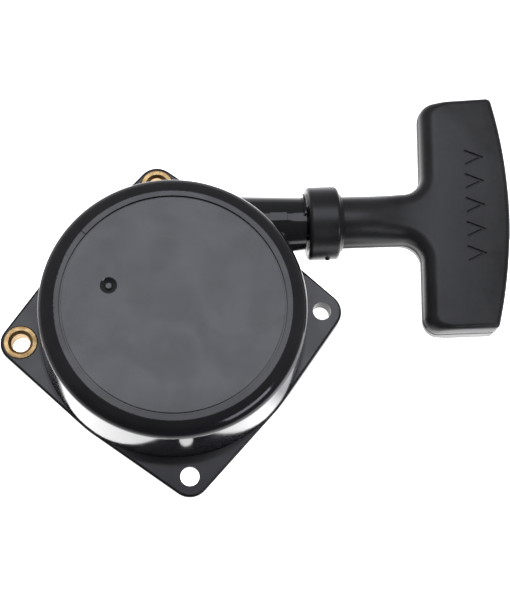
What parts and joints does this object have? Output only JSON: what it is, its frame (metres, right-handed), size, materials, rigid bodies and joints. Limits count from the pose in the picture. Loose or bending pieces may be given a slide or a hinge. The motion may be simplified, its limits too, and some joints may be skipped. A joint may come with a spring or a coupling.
{
  "type": "recoil starter",
  "caption": "Hand-pull starter for a small engine: round cup case on a square bolt flange, tangential rope outlet with a rubber buffer, and a T-shaped pull grip.",
  "frame": {"origin": "centre of the bolt pattern on the flange's mounting face", "axes": "+X is the direction in which the rope is pulled, +Z points away from the engine towards the closed face"},
  "size_m": [0.1448, 0.1096, 0.0295],
  "materials": {
    "case_plastic": "glossy black moulded plastic",
    "grip_rubber": "satin black rubber",
    "plug_plastic": "matte black plastic",
    "brass": "machined brass",
    "zinc_steel": "bright zinc plate",
    "spring_steel": "blued spring steel",
    "reel_plastic": "glass-filled nylon",
    "bronze": "sintered bronze",
    "rope": "braided cord",
    "pawl_plastic": "acetal"
  },
  "bodies": {
    "housing": {"case": "case_plastic", "flange_bushes": "brass", "rope_guide": "zinc_steel", "rope_collar": "grip_rubber", "post_insert": "brass", "centre_washer": "zinc_steel", "centre_screw": "zinc_steel", "thrust_washer": "zinc_steel", "spring_cup": "zinc_steel", "recoil_spring": "spring_steel"},
    "handle": {"grip": "grip_rubber", "grip_plug": "plug_plastic", "rope_lead": "rope", "knot_washer": "zinc_steel", "grip_knot": "rope"},
    "reel": {"reel": "reel_plastic", "reel_bush": "bronze", "rope_coil": "rope", "anchor_knot": "rope", "pawl_pins": "zinc_steel", "friction_spring": "zinc_steel"},
    "friction_plate": {"friction_plate": "zinc_steel"},
    "pawl_1": {"pawl_1": "pawl_plastic"},
    "pawl_2": {"pawl_2": "pawl_plastic"}
  },
  "joints": [
    {"name": "handle_pull", "type": "slide", "parent": "housing", "child": "handle", "axis": [1, 0, 0], "range_m": [0, 0.52]},
    {"name": "reel_spin", "type": "hinge", "parent": "housing", "child": "reel", "pos_m": [0, 0, 0.0125], "axis": [0, 0, 1], "range_deg": [-1120, 0]},
    {"name": "plate_turn", "type": "hinge", "parent": "reel", "child": "friction_plate", "pos_m": [0, 0, 0.0036], "axis": [0, 0, 1], "range_deg": [0, 30]},
    {"name": "pawl_1_swing", "type": "hinge", "parent": "reel", "child": "pawl_1", "pos_m": [0.013, 0, 0.0064], "axis": [0, 0, 1], "range_deg": [0, 30]},
    {"name": "pawl_2_swing", "type": "hinge", "parent": "reel", "child": "pawl_2", "pos_m": [-0.013, 0, 0.0064], "axis": [0, 0, 1], "range_deg": [0, 30]}
  ],
  "couplings": [
    {"joint": "reel_spin", "follows": "handle_pull", "rad_per_m": -37.453},
    {"joint": "pawl_1_swing", "follows": "plate_turn", "ratio": 1},
    {"joint": "pawl_2_swing", "follows": "plate_turn", "ratio": 1}
  ]
}
